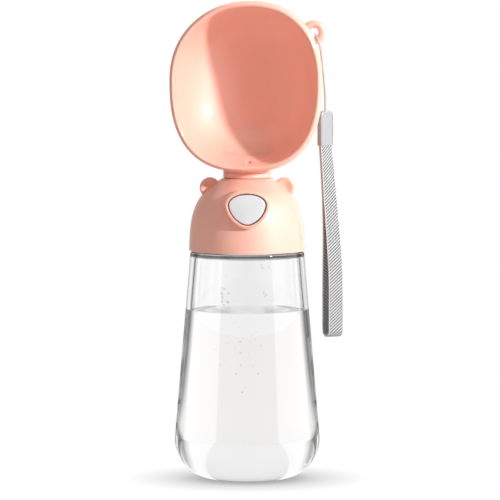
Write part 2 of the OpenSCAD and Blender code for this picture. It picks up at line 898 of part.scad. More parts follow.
bottle_body();
mouth_gasket();
head_shell();
screw_collar();
vent_valve();
valve_body();
valve_gasket();
valve_screws();
chamber_plug();
chamber_o_ring();
return_spring();
rod_o_ring();
rod_bush();
color(silicone)  // nozzle_o_ring
        ring(nozzle_r - 1.1 + nozzle_section / 2, nozzle_section, socket_z + 2 - nozzle_section / 2 + 0.05);
nose_button();
push_rod();
poppet_seal();
stem();
stem_o_ring();
stem_clip();
cup_gasket();
cup();
lanyard_cord();
strap_clamp();
wrist_strap();
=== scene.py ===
# Looks of the dog's travel bottle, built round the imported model.
# The pieces' sizes are in millimetres, and times mm where Blender needs metres. The camera, the lamps and the
# floor are in metres. The nose button faces -Y and the bottle stands on z 0.
import math
import random

import bpy
import bmesh
from mathutils import Matrix, Vector


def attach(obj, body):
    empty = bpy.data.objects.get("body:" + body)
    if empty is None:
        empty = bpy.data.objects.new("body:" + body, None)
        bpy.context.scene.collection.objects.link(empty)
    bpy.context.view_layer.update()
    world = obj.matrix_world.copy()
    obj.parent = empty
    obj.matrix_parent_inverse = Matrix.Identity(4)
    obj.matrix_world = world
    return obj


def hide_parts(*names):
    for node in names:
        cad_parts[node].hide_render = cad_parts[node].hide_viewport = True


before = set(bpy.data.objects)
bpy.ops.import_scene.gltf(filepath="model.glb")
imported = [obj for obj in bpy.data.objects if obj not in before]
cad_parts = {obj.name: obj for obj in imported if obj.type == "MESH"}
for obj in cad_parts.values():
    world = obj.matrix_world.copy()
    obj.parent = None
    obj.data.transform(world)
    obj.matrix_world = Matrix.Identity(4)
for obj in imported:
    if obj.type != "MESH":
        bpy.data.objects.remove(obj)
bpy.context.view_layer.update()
mm = 0.001
fullTurn = 2 * math.pi
print("frame loaded:", len(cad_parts), "nodes")

# Camera
view = {
    "aim": (0.00142, 0.0, 0.1182), "distance": 2.8, "elevation": 4.43,
    "frameHeight": 0.2580, "sensor": 36, "near": 0.1, "far": 20,
}


def addObject(name, data):
    made = bpy.data.objects.new(name, data)
    bpy.context.scene.collection.objects.link(made)
    return made


def makeCamera():
    lift = math.radians(view["elevation"])
    data = bpy.data.cameras.new("camera")
    data.sensor_width = view["sensor"]
    data.lens = view["sensor"] * view["distance"] / view["frameHeight"]
    data.clip_start = view["near"]
    data.clip_end = view["far"]
    camera = addObject("camera", data)
    back = Vector((0, -math.cos(lift), math.sin(lift)))
    camera.location = Vector(view["aim"]) + view["distance"] * back
    camera.rotation_euler = (math.pi / 2 - lift, 0, 0)
    bpy.context.scene.camera = camera


makeCamera()

# Meshes
weld = 1e-7   # points nearer than this become one, in metres
nearAxis = 0.001   # radius where a turned tool meets its axis


def smooth(piece, sharp):
    mesh = piece.data
    mesh.polygons.foreach_set("use_smooth", [True] * len(mesh.polygons))
    edit = bmesh.new()
    edit.from_mesh(mesh)
    limit = math.radians(sharp)
    for edge in edit.edges:
        edge.smooth = len(edge.link_faces) == 2 and edge.calc_face_angle(0) < limit
    edit.to_mesh(mesh)
    edit.free()


def addPiece(name, points, faces, body, slotName, materials, faceMaterials=None, sharp=40):
    mesh = bpy.data.meshes.new(name)
    mesh.from_pydata([Vector(p) for p in points], [], faces)
    mesh.validate()
    piece = addObject(name, mesh)
    for material in materials:
        mesh.materials.append(material)
    if faceMaterials:
        mesh.polygons.foreach_set("material_index", faceMaterials)
    smooth(piece, sharp)
    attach(piece, body)
    return piece


# welds points that lie on each other, and turns the faces outwards
def mend(mesh):
    edit = bmesh.new()
    edit.from_mesh(mesh)
    bmesh.ops.remove_doubles(edit, verts=edit.verts, dist=weld)
    bmesh.ops.recalc_face_normals(edit, faces=edit.faces)
    edit.to_mesh(mesh)
    edit.free()


# faces between rings of points, counted ring by ring; a loop also joins the last ring to the first
def ringFaces(rings, count, loop=False):
    faces = []
    for i in range(rings if loop else rings - 1):
        here, there = i * count, (i + 1) % rings * count
        for k in range(count):
            after = (k + 1) % count
            faces.append((here + k, here + after, there + after, there + k))
    return faces


# a closed solid over rings of points, with one face at each end
def solidRings(rings):
    count = len(rings[0])
    points = [p for ring in rings for p in ring]
    faces = ringFaces(len(rings), count)
    faces.append(tuple(reversed(range(count))))
    last = (len(rings) - 1) * count
    faces.append(tuple(range(last, last + count)))
    return points, faces


# a profile of (radius, height) turned round Z
def lathe(profile, steps, loop=False):
    points = []
    for r, z in profile:
        for k in range(steps):
            a = fullTurn * k / steps
            points.append((r * math.cos(a), r * math.sin(a), z))
    return points, ringFaces(len(profile), steps, loop=loop)


# points of a round from one angle to another, in degrees; rz flattens it
def arc(cx, cz, r, start, end, steps, rz=None):
    points = []
    for i in range(steps + 1):
        a = math.radians(start + (end - start) * i / steps)
        points.append((cx + r * math.cos(a), cz + (rz or r) * math.sin(a)))
    return points


# the points between two ends, without the ends
def line(a, b, steps):
    return [(a[0] + (b[0] - a[0]) * i / steps, a[1] + (b[1] - a[1]) * i / steps) for i in range(1, steps)]


def toMetres(points):
    return [(p[0] * mm, p[1] * mm) for p in points]


# a closed mesh that combine uses up
def makeTool(name, points, faces):
    mesh = bpy.data.meshes.new(name)
    mesh.from_pydata([Vector(p) for p in points], [], faces)
    mend(mesh)
    return addObject(name, mesh)


def roundTool(name, radius, low, high, steps):
    profile = [(nearAxis, low), (radius, low), (radius, high), (nearAxis, high)]
    return makeTool(name, *lathe(toMetres(profile), steps))


# joins a tool to a piece or cuts it away, and removes the tool
def combine(piece, cutter, operation):
    modifier = piece.modifiers.new("cut", "BOOLEAN")
    modifier.operation = operation
    modifier.solver = "EXACT"
    modifier.object = cutter
    bpy.context.view_layer.update()
    graph = bpy.context.evaluated_depsgraph_get()
    made = bpy.data.meshes.new_from_object(piece.evaluated_get(graph))
    piece.modifiers.clear()
    old = piece.data
    piece.data = made
    bpy.data.meshes.remove(old)
    bpy.data.objects.remove(cutter)


# Materials
def newMaterial(name, colour, roughness, **sockets):
    material = bpy.data.materials.new(name)
    material.use_nodes = True
    shader = material.node_tree.nodes["Principled BSDF"]
    shader.inputs["Base Color"].default_value = (*colour, 1)
    shader.inputs["Roughness"].default_value = roughness
    for key, value in sockets.items():
        shader.inputs[key].default_value = value
    return material


# a colour written as it is seen, made linear
def fromHex(text):
    values = [int(text[i:i + 2], 16) / 255 for i in (0, 2, 4)]
    return tuple(v / 12.92 if v < 0.04045 else ((v + 0.055) / 1.055) ** 2.4 for v in values)


# a number is set on the socket, and a node's output is linked to it
def feed(tree, value, socket):
    if isinstance(value, (int, float)):
        socket.default_value = value
    else:
        tree.links.new(value, socket)


def feedShader(material, value, name):
    feed(material.node_tree, value, material.node_tree.nodes["Principled BSDF"].inputs[name])


def maths(tree, operation, a, b=0.0):
    node = tree.nodes.new("ShaderNodeMath")
    node.operation = operation
    for socket, value in zip(node.inputs, (a, b)):
        feed(tree, value, socket)
    return node.outputs[0]


# one value where the mask is 0 and another where it is 1
def between(tree, mask, low, high):
    rest = maths(tree, "SUBTRACT", 1.0, mask)
    return maths(tree, "ADD", maths(tree, "MULTIPLY", mask, high), maths(tree, "MULTIPLY", rest, low))


# the same for two colours
def blend(tree, mask, low, high):
    node = tree.nodes.new("ShaderNodeMix")
    node.data_type = "RGBA"
    node.inputs["A"].default_value = (*low, 1)
    node.inputs["B"].default_value = (*high, 1)
    feed(tree, mask, node.inputs["Factor"])
    return node.outputs["Result"]


def bump(tree, height, strength, depth):
    node = tree.nodes.new("ShaderNodeBump")
    node.inputs["Distance"].default_value = depth
    feed(tree, strength, node.inputs["Strength"])
    feed(tree, height, node.inputs["Height"])
    return node.outputs["Normal"]


def noise(tree, scale, detail):
    place = tree.nodes.new("ShaderNodeTexCoord")
    node = tree.nodes.new("ShaderNodeTexNoise")
    node.inputs["Detail"].default_value = detail
    feed(tree, scale, node.inputs["Scale"])
    feed(tree, place.outputs["Object"], node.inputs["Vector"])
    return node.outputs["Fac"]


# the two directions of a uv map
def uvParts(tree, name):
    uv = tree.nodes.new("ShaderNodeUVMap")
    uv.uv_map = name
    split = tree.nodes.new("ShaderNodeSeparateXYZ")
    feed(tree, uv.outputs["UV"], split.inputs[0])
    return split.outputs["X"], split.outputs["Y"]


def newGroup(name, inputs, outputs):
    group = bpy.data.node_groups.new(name, "ShaderNodeTree")
    for way, sockets in (("INPUT", inputs), ("OUTPUT", outputs)):
        for title, kind in sockets.items():
            group.interface.new_socket(title, in_out=way, socket_type="NodeSocket" + kind)
    return group, group.nodes.new("NodeGroupInput"), group.nodes.new("NodeGroupOutput")


def placeGroup(tree, group):
    node = tree.nodes.new("ShaderNodeGroup")
    node.node_tree = group
    return node


skin = {"rippleDetail": 2, "marksScale": 900, "marksDetail": 3, "bumpDepth": 0.001}


# the faint unevenness of a moulded skin: a ripple, and fine handling marks in the gloss
def mouldedGroup():
    group, inside, outside = newGroup(
        "mouldedSkin", {"Scale": "Float", "Ripple": "Float", "Gloss": "Float", "Marks": "Float"},
        {"Roughness": "Float", "Normal": "Vector"})
    ripple = noise(group, inside.outputs["Scale"], skin["rippleDetail"])
    marks = noise(group, skin["marksScale"], skin["marksDetail"])
    spread = maths(group, "MULTIPLY", marks, inside.outputs["Marks"])
    feed(group, maths(group, "ADD", spread, inside.outputs["Gloss"]), outside.inputs["Roughness"])
    normal = bump(group, ripple, inside.outputs["Ripple"], skin["bumpDepth"])
    feed(group, normal, outside.inputs["Normal"])
    return group


mouldedSkin = mouldedGroup()


def skinned(name, seen, scale, ripple, gloss, marks, **sockets):
    material = newMaterial(name, fromHex(seen), gloss, **sockets)
    node = placeGroup(material.node_tree, mouldedSkin)
    for title, value in (("Scale", scale), ("Ripple", ripple), ("Gloss", gloss), ("Marks", marks)):
        node.inputs[title].default_value = value
    for title in ("Roughness", "Normal"):
        feedShader(material, node.outputs[title], title)
    return material


def clear(name, index):
    return newMaterial(name, (1, 1, 1), 0.0, IOR=index, **{"Transmission Weight": 1.0})


peach = skinned("peachPlastic", "fabba9", scale=60, ripple=0.02, gloss=0.58, marks=0.06, **{
    "IOR": 1.5, "Subsurface Weight": 0.3, "Subsurface Radius": (1.0, 0.35, 0.2), "Subsurface Scale": 0.001,
    "Specular IOR Level": 0.7, "Sheen Weight": 0.15, "Sheen Roughness": 0.4,
    "Coat Weight": 0.4, "Coat Roughness": 0.1, "Coat IOR": 1.5,
})
buttonWhite = skinned("whitePlastic", "dde2e6", scale=90, ripple=0.02, gloss=0.2, marks=0.06, IOR=1.5)
clampWhite = skinned("clampPlastic", "a6aaaf", scale=120, ripple=0.03, gloss=0.26, marks=0.06, IOR=1.48)
innerWhite = skinned("innerPlastic", "e9e9e8", scale=120, ripple=0.05, gloss=0.36, marks=0.08, IOR=1.5)
siliconeSoft = skinned("siliconeRubber", "dedfdd", scale=150, ripple=0.05, gloss=0.5, marks=0.1, IOR=1.42)
steelBright = skinned("springSteel", "c8c9cb", scale=300, ripple=0.05, gloss=0.22, marks=0.1, Metallic=1.0)

plasticIndex, waterIndex = 1.5, 1.333   # how strongly each bends light, against air
clearPlastic = clear("clearPlastic", plasticIndex)
wetWall = clear("wetInnerWall", plasticIndex / waterIndex)
water = clear("water", waterIndex)
airBubble = clear("airInWater", 1 / waterIndex)
print("materials made")

# Cord
cord = {
    "diameter": 1.1 * mm, "braid": 1.4 * mm, "sides": 12, "smoothing": 8,
    # the cord's colour and the painted shade in its braid's grooves; then the strands and their bump
    "pale": "cdcac8", "dark": "8d8886", "strands": 3, "braidHeight": 0.6, "braidDepth": 0.0001,
    "eye": (34.297, -1.016, 230.5),
    # the same points from the eye's centre as in the solids: up from the clamp, through the eye, down
    "route": [
        (6, 3.8, -42.9), (6, 3.8, -40.3), (6, 3.2, -36.5), (5.7, 1.8, -29.5), (4.9, -0.2, -21),
        (4.1, -1.9, -13.5), (3.3, -2.9, -7.7), (2.5, -3, -5.1), (1.7, -2.7, -2.9),
        (0.9, -1.5, -1.4), (0.7, 0, -1.2), (0.9, 1.45, -1.4), (1.7, 2.6, -2.9),
        (2.5, 2.9, -5.1), (3.3, 3.1, -7.9), (4.1, 3.3, -13.5), (4.9, 3.9, -21),
        (5.7, 4.6, -29.5), (6, 5.2, -36.5), (6, 5.4, -40.3), (6, 5.4, -42.9),
    ],
}


# a smooth line through the points
def spline(points, steps):
    smoothed = []
    for i in range(len(points) - 1):
        p0, p1 = points[max(i - 1, 0)], points[i]
        p2, p3 = points[i + 1], points[min(i + 2, len(points) - 1)]
        for k in range(steps):
            t = k / steps
            smoothed.append(0.5 * (2 * p1 + (p2 - p0) * t + (2 * p0 - 5 * p1 + 4 * p2 - p3) * t * t
                                   + (3 * p1 - p0 - 3 * p2 + p3) * t ** 3))
    return smoothed + [points[-1]]


# two sets of strands, one leaning each way, with the upper one showing, and painted shade in the grooves
# between them
def cordFabric():
    material = newMaterial("braidedCord", fromHex(cord["pale"]), 0.85, **{"Sheen Weight": 0.3})
    tree = material.node_tree
    around, along = uvParts(tree, "braid")
    waves = []
    for lean in (1, -1):
        turn = maths(tree, "MULTIPLY", around, fullTurn * cord["strands"] * lean)
        waves.append(maths(tree, "SINE", maths(tree, "ADD", turn, maths(tree, "MULTIPLY", along, fullTurn))))
    shade = tree.nodes.new("ShaderNodeMapRange")
    shade.inputs["From Min"].default_value = -1
    feed(tree, maths(tree, "MAXIMUM", *waves), shade.inputs["Value"])
    height = shade.outputs["Result"]
    # painted shade: the colour darkens where the braid's height is low, in the grooves
    feedShader(material, blend(tree, height, fromHex(cord["dark"]), fromHex(cord["pale"])), "Base Color")
    feedShader(material, bump(tree, height, cord["braidHeight"], cord["braidDepth"]), "Normal")
    return material


def makeCord():
    path = spline([(Vector(cord["eye"]) + Vector(p)) * mm for p in cord["route"]], cord["smoothing"])
    sides, radius = cord["sides"], cord["diameter"] / 2
    rings, along, run = [], [], 0.0
    side = Vector((1, 0.2, 0.1))   # any way that isn't along the cord's start
    for i, p in enumerate(path):
        heading = (path[min(i + 1, len(path) - 1)] - path[max(i - 1, 0)]).normalized()
        side = (side - side.dot(heading) * heading).normalized()
        up = heading.cross(side)
        if i:
            run += (p - path[i - 1]).length
        along.append(run)
        angles = [fullTurn * k / sides for k in range(sides)]
        rings.append([p + radius * (math.cos(a) * side + math.sin(a) * up) for a in angles])
    points, faces = solidRings(rings)
    piece = addPiece("hangingCord", points, faces, "lanyard", "cord", [cordFabric()])
    layer = piece.data.uv_layers.new(name="braid")
    for loop in piece.data.loops:   # the strip that closes the round runs backwards, too thin to show
        ring, k = divmod(loop.vertex_index, sides)
        layer.data[loop.index].uv = (k / sides, along[ring] / cord["braid"])
    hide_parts("lanyard_cord")


makeCord()

# Strap
strap = {
    "width": 8.4, "thickness": 0.9, "clamp": (40.297, 3.584, 172.0), "hold": 0.06, "held": 6, "height": 99,
    "spread": 5.9, "spreadBy": 0.82, "spreadPower": 4,   # how far the two bands part, and how late
    "turn": 47, "untwist": 20, "drift": 3.9, "settled": 0.8,   # it turns and drifts until it hangs straight
    "rows": 300, "foldRows": 36, "columns": 28,
    "pressed": 0.92, "corner": 0.28, "edgeRound": 0.08, "edgeThick": 0.72,
    "ribPitch": 1.6, "ribSlant": 0.8, "ribHeight": 0.07, "ribFade": 0.4, "edge": 0.5,
    # the webbing's colour and the painted shade in its twill's valleys; threads across, and where the valleys
    # and their dots fall
    "pale": "c6c9cb", "dark": "4c5054", "threadsAcross": 14, "valleyBelow": 0.1, "threadAbove": -0.97,
}


def ease(s, end):
    return math.sin(math.pi / 2 * min(1, s / end))


# where the webbing's middle line runs: down the front band, round the fold, up the back band
def strapPath():
    rows, foldRows = strap["rows"], strap["foldRows"]
    half = (strap["thickness"] + strap["hold"] + strap["spread"]) / 2
    drop = strap["height"] - half - strap["thickness"] / 2
    stations = [(0, 90, strap["held"])]   # share of the way down, angle round the fold, height in the clamp
    stations += [(i / rows, 90, 0) for i in range(rows + 1)]
    stations += [(1, 90 - 180 * i / foldRows, 0) for i in range(1, foldRows)]
    stations += [(i / rows, -90, 0) for i in range(rows, -1, -1)]
    stations += [(0, -90, strap["held"])]
    path = []
    for s, fold, lift in stations:
        settling = ease(s, strap["settled"])
        twist = math.radians(strap["turn"] - strap["untwist"] * settling)
        across = Vector((math.cos(twist), math.sin(twist), 0))
        out = Vector((math.sin(twist), -math.cos(twist), 0))
        spread = strap["spread"] * ease(s, strap["spreadBy"]) ** strap["spreadPower"]
        reach = (strap["thickness"] + strap["hold"] + spread) / 2
        normal = math.sin(math.radians(fold)) * out - Vector((0, 0, math.cos(math.radians(fold))))
        middle = Vector(strap["clamp"]) + Vector((strap["drift"] * settling, 0, lift - s * drop))
        path.append((middle + reach * normal, across, normal))
    return path


# the webbing's cross-section: across, out, and the face it is on
def strapSection():
    half, wide = strap["thickness"] / 2, strap["width"] / 2
    nearEdge, thick = wide - strap["edgeRound"], half * strap["edgeThick"]
    section = []
    for side in (1, -1):
        for k in range(strap["columns"] + 1):
            u = side * (1 - 2 * k / strap["columns"])
            section.append((u * (wide - strap["corner"]), side * half, side))
        section += [(-side * nearEdge, side * thick, 0), (-side * wide, 0, 0)]
        section += [(-side * nearEdge, -side * thick, 0)]
    return section


# how far the twill's ribs stand out at a place on the webbing
def ribLift(run, u, face):
    inner = max(0.0, min(1.0, (strap["width"] / 2 - strap["edge"] - abs(u)) / strap["ribFade"]))
    phase = (run + strap["ribSlant"] * u * face) / strap["ribPitch"]
    return face * strap["ribHeight"] * (0.5 + 0.5 * math.cos(fullTurn * phase)) * inner


# twill: pale ribs with painted shade in the slanted valleys between them, dotted by the cross threads, with
# plain edges
def webbing():
    material = newMaterial("twillWebbing", fromHex(strap["pale"]), 0.8, **{"Sheen Weight": 0.25})
    tree = material.node_tree
    across, along = uvParts(tree, "weave")
    perWidth = strap["width"] / strap["ribPitch"]
    off = maths(tree, "SUBTRACT", across, 0.5)
    slant = maths(tree, "ADD", maths(tree, "MULTIPLY", along, perWidth),
                  maths(tree, "MULTIPLY", off, strap["ribSlant"] * perWidth))
    rib = maths(tree, "COSINE", maths(tree, "MULTIPLY", slant, fullTurn))
    thread = maths(tree, "COSINE", maths(tree, "MULTIPLY", across, fullTurn * strap["threadsAcross"]))
    # painted shade: the slanted valleys between the ribs take the dark colour
    valley = maths(tree, "MULTIPLY", maths(tree, "LESS_THAN", rib, strap["valleyBelow"]),
                   maths(tree, "GREATER_THAN", thread, strap["threadAbove"]))
    inner = maths(tree, "LESS_THAN", maths(tree, "ABSOLUTE", off), 0.5 - strap["edge"] / strap["width"])
    dark = maths(tree, "MULTIPLY", valley, inner)
    feedShader(material, blend(tree, dark, fromHex(strap["pale"]), fromHex(strap["dark"])), "Base Color")
    return material


def makeStrap():
    path, section = strapPath(), strapSection()
    rings, uvs, run = [], [], 0.0
    for i, (p, across, normal) in enumerate(path):
        if i:
            run += (p - path[i - 1][0]).length
        ring = []
        for u, v, face in section:
            lift = ribLift(run, u, face)
            ring.append((p + u * across + (v * strap["pressed"] + lift) * normal) * mm)
            uvs.append((u / strap["width"] + 0.5, run / strap["width"]))
        rings.append(ring)
    piece = addPiece("wristStrap", *solidRings(rings), "lanyard", "webbing", [webbing()])
    layer = piece.data.uv_layers.new(name="weave")
    for loop in piece.data.loops:
        layer.data[loop.index].uv = uvs[loop.vertex_index]
    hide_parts("wrist_strap")


makeStrap()
print("cord and strap hung")

# Bottle
bottle = {
    "shoulderHeight": 117.4, "bellyRadius": 37.4, "shoulderRadius": 29.4, "shoulderEdge": 0.9,
    "footRadius": 17.0, "footHeight": 21.0, "wall": 2.8, "floor": 5.0, "floorRings": (5, 11),
    "punt": 1.2, "puntEdge": 4.2, "standRing": 1.8, "standRound": 1.4,
    "shoulder": 1.5, "insideRound": 1.5, "neckRadius": 23.0, "neckWall": 2.6, "mouthHeight": 127.8,
    "neckFillet": 0.4, "boreFillet": 0.6, "mouthEdge": 0.5,
    "threadStart": 1.5, "threadTurns": 1.5, "threadPitch": 3.6, "threadDepth": 1.2, "threadGap": 0.35,
    "threadRoot": 0.5, "crestShare": 4.4, "threadSteps": 60, "runIn": 6, "thinEnd": 0.08,
    "waterLevel": 87.3, "meniscus": 0.45, "creep": 1.3, "waterRings": 40,
    "centre": 0.01, "steps": 192,
}


def footCorner(inset, steps):
    belly, height = bottle["bellyRadius"], bottle["footHeight"]
    wide = belly - bottle["footRadius"]
    taper = (belly - bottle["shoulderRadius"]) / (bottle["shoulderHeight"] - height)
    lean = math.degrees(math.atan(taper * height / wide))
    low = bottle["floor"] if inset else 0
    return arc(bottle["footRadius"], height, wide - inset, -90, lean, steps, rz=height - low)


def bottleOutside():
    foot, neck, edge, lip = (bottle[k] for k in ("footRadius", "neckRadius", "shoulderEdge", "mouthEdge"))
    top, fillet = bottle["shoulderHeight"], bottle["neckFillet"]
    outer = [(bottle["centre"], bottle["punt"]), (foot - bottle["puntEdge"], bottle["punt"])]
    outer += arc(foot - bottle["standRing"], bottle["punt"], bottle["standRound"], 180, 270, 8,
                 rz=bottle["punt"])[1:]
    outer += footCorner(0, 48)
    outer += line(outer[-1], (bottle["shoulderRadius"], top - edge), 24)
    outer += arc(bottle["shoulderRadius"] - edge, top - edge, edge, 2, 90, 8)
    outer += [(neck + fillet, top), (neck, top + fillet)]
    return outer + [(neck, bottle["mouthHeight"] - lip), (neck - lip, bottle["mouthHeight"])]


def bottleInside():
    bore, under = bottle["neckRadius"] - bottle["neckWall"], bottle["shoulderHeight"] - bottle["shoulder"]
    fillet, soft, lip = bottle["boreFillet"], bottle["insideRound"], bottle["mouthEdge"]
    shoulder = (bottle["shoulderRadius"] - bottle["wall"], under - soft)
    inner = [(r, bottle["floor"]) for r in (bottle["centre"], *bottle["floorRings"])]
    inner += footCorner(bottle["wall"], 30)
    inner += line(inner[-1], shoulder, 24) + [shoulder]
    inner += arc(shoulder[0] - soft, shoulder[1], soft, 0, 90, 8)[1:]
    inner += [(bore + fillet, under), (bore, under + fillet)]
    return inner + [(bore, bottle["mouthHeight"] - lip), (bore + lip, bottle["mouthHeight"])]


# radius of the bottle's inner wall at a height on its straight side
def wallRadius(height):
    inner = bottleInside()
    for (r0, z0), (r1, z1) in zip(inner, inner[1:]):
        if z0 <= height <= z1:
            return r0 + (r1 - r0) * (height - z0) / max(z1 - z0, 1e-6)
    return inner[-1][0]


# the thread's cross-section carried round the neck, drawn thin at both ends
def threadRings():
    pitch, gap, perTurn = bottle["threadPitch"], bottle["threadGap"], bottle["threadSteps"]
    root, crest = pitch / 2 - gap, (pitch - 2 * gap) / bottle["crestShare"]
    start, steps = bottle["shoulderHeight"] + bottle["threadStart"], int(perTurn * bottle["threadTurns"])
    foot, thin, ends = bottle["neckRadius"] - bottle["threadRoot"], bottle["thinEnd"], bottle["runIn"]
    rings = []
    for i in range(steps + 1):
        a = math.radians(360 * i / perTurn)
        z = start + root + pitch * i / perTurn
        run = min(1, thin + i / ends, thin + (steps - i) / ends)
        top = bottle["neckRadius"] + bottle["threadDepth"] * run
        profile = [(foot, -root * run), (top, -crest * run), (top, crest * run), (foot, root * run)]
        rings.append([(r * math.cos(a) * mm, r * math.sin(a) * mm, (z + h) * mm) for r, h in profile])
    return rings


def makeBottle():
    outer, inner = bottleOutside(), bottleInside()
    wetTop = bottle["waterLevel"] + bottle["meniscus"]
    wet = [p for p in inner if p[1] < wetTop] + [(wallRadius(wetTop), wetTop)]
    dry = [p for p in inner if p[1] >= wetTop]
    points, faces = lathe(toMetres(outer + (wet + dry)[::-1]), bottle["steps"])
    wetFrom = len(outer) + len(dry)
    kinds = [1 if index // bottle["steps"] >= wetFrom else 0 for index in range(len(faces))]
    more, moreFaces = solidRings(threadRings())
    faces += [tuple(i + len(points) for i in f) for f in moreFaces]
    kinds += [0] * len(moreFaces)
    piece = addPiece("clearBottle", points + more, faces, "bottle", "bottle", [clearPlastic, wetWall],
                     kinds, sharp=50)
    mend(piece.data)
    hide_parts("bottle_body")


# the water's surface, drawn up where it wets the wall
def makeWater():
    level, rise, steps = bottle["waterLevel"], bottle["meniscus"], bottle["waterRings"]
    wall = wallRadius(level + rise)
    profile = [(bottle["centre"], level)]
    for i in range(1, steps + 1):
        r = wall * (1 - (1 - i / steps) ** 2)
        profile.append((r, level + rise * math.exp(-(wall - r) / bottle["creep"])))
    points, faces = lathe(toMetres(profile), bottle["steps"])
    addPiece("waterSurface", points, [f[::-1] for f in faces][::-1], "bottle", "bottle", [water], sharp=60)


# drops above the water and bubbles below it, on the near wall: across, height, radius
wetSpots = {
    "seed": 7, "bands": 8, "sides": 14, "offWall": 0.05, "dropFlat": 0.5, "bubbleFlat": 0.9,
    "drops": [
        (-12.4, 100.4, 0.5), (-11.1, 100.1, 0.6), (-12.6, 97.6, 0.7), (-9.3, 97.9, 0.55), (-12.3, 95.6, 0.6),
        (-12.5, 93.6, 0.5), (-9.6, 93.2, 0.75), (-11.5, 91.8, 0.45), (8.2, 98.2, 0.5), (9.4, 97.2, 0.45),
        (8.8, 96.4, 0.4), (7.0, 112.4, 0.4), (7.6, 110.9, 0.5), (10.7, 111.2, 0.35), (-10.2, 107.1, 0.35),
    ],
    "bubbles": [
        (-3.5, 73.6, 0.45), (-3.0, 67.9, 0.45), (-3.0, 61.7, 0.4), (-5.6, 57.1, 0.4), (5.3, 57.1, 0.4),
        (-2.5, 47.8, 0.45),
    ],
    # more, finer bubbles by chance: middle and spread across, then least and most
    "fine": 26, "fineAcross": (-1, 6), "fineHeight": (60, 84), "fineRadius": (0.16, 0.28),
}


# a small ball, flattened along the way it faces
def ballPoints(middle, out, radius, flat):
    side = Vector((-out.y, out.x, 0)).normalized()
    turns = [math.pi * i / wetSpots["bands"] for i in range(wetSpots["bands"] + 1)]
    points, faces = lathe([(max(math.sin(a), 1e-3), -math.cos(a)) for a in turns], wetSpots["sides"])
    up = Vector((0, 0, 1))
    return [middle + radius * (p[0] * side + p[1] * up + p[2] * flat * out) for p in points], faces


def addSpots(name, spots, material, flat):
    points, faces = [], []
    for x, z, radius in spots:
        wall = wallRadius(z) - radius * flat - wetSpots["offWall"]
        y = -math.sqrt(wall * wall - x * x)
        ball, sides = ballPoints(Vector((x, y, z)), Vector((x, y, 0)).normalized(), radius, flat)
        faces += [tuple(i + len(points) for i in f) for f in sides]
        points += ball
    piece = addPiece(name, [p * mm for p in points], faces, "bottle", "bottle", [material], sharp=80)
    mend(piece.data)


def makeSpots():
    random.seed(wetSpots["seed"])
    bubbles = list(wetSpots["bubbles"])
    for i in range(wetSpots["fine"]):
        bubbles.append((random.gauss(*wetSpots["fineAcross"]), random.uniform(*wetSpots["fineHeight"]),
                        random.uniform(*wetSpots["fineRadius"])))
    addSpots("wallDrops", wetSpots["drops"], water, wetSpots["dropFlat"])
    addSpots("wallBubbles", bubbles, airBubble, wetSpots["bubbleFlat"])


makeBottle()
makeWater()
makeSpots()
print("bottle made")

# Head
head = {
    "low": 118.1, "top": 155.5, "radius": 29.95, "topRadius": 12.7, "wall": 2.2,
    "domeRise": 0.59, "domeOut": 13.4, "domeDrop": 8.5, "domeSteps": 64,   # how the dome's curve bends
    "skirt": 27.2, "skirtRound": 0.35, "skirtCorner": 0.1, "edge": 0.3, "deckTop": 131.4, "ledge": 1.7,
    "socket": 10.25, "socketWall": 2.2, "socketLow": 150.2,
    "earRadius": 5.3, "earThickness": 6.4, "earX": 19.2, "earZ": 150.5, "earSteps": 72,
    "earBack": 1.9, "earFront": 1.0, "earDish": 4.1, "earDepth": 1.1, "earHollow": 1.3,
    "noseZ": 143.4, "noseWidth": 19.8, "noseUp": 5.9, "noseDown": 10.5, "noseMiddle": -2.3,
    "noseFullUp": 2.1, "noseFullDown": 1.7, "nosePoints": 96, "snoutY": -31.6, "rim": 1.6,
    "steps": 192,
}


def curvePoint(p, t):
    q = 1 - t
    return tuple(q ** 3 * p[0][i] + 3 * q * q * t * p[1][i] + 3 * q * t * t * p[2][i] + t ** 3 * p[3][i]
                 for i in (0, 1))


# the dome's line from the skirt up, moved in by the inset
def headLine(inset):
    tall, steps, near = head["top"] - head["low"], head["domeSteps"], 1e-3
    bend = [(head["radius"], head["low"]), (head["radius"], head["low"] + head["domeRise"] * tall),
            (head["topRadius"] + head["domeOut"], head["top"] - head["domeDrop"]),
            (head["topRadius"], head["top"])]
    points = []
    for i in range(steps + 1):
        t = i / steps
        x, z = curvePoint(bend, t)
        x1, z1 = curvePoint(bend, min(1, t + near))
        x0, z0 = curvePoint(bend, max(0, t - near))
        size = math.hypot(x1 - x0, z1 - z0)
        points.append((x - inset * (z1 - z0) / size, z + inset * (x1 - x0) / size))
    return points


# the snout's rounded triangle, grown or drawn towards its middle, as a ring at a depth
def noseOutline(grow, y, scale=1.0):
    ring = []
    for k in range(head["nosePoints"]):
        a = fullTurn * (k + 0.5) / head["nosePoints"]
        upper = math.sin(a) > 0
        power = 2 / (head["noseFullUp"] if upper else head["noseFullDown"])
        tall = head["noseUp"] if upper else head["noseDown"]
        x = (head["noseWidth"] / 2 + grow) * math.copysign(abs(math.cos(a)) ** power, math.cos(a))
        z = (tall + grow) * math.copysign(abs(math.sin(a)) ** power, math.sin(a)) - head["noseMiddle"]
        ring.append((x * scale * mm, y * mm, (head["noseZ"] + head["noseMiddle"] + z * scale) * mm))
    return ring


# a tool through rings of the snout's outline, each grown by a size at a depth
def noseTool(name, rings):
    return makeTool(name, *solidRings([noseOutline(grow, y) for grow, y in rings]))


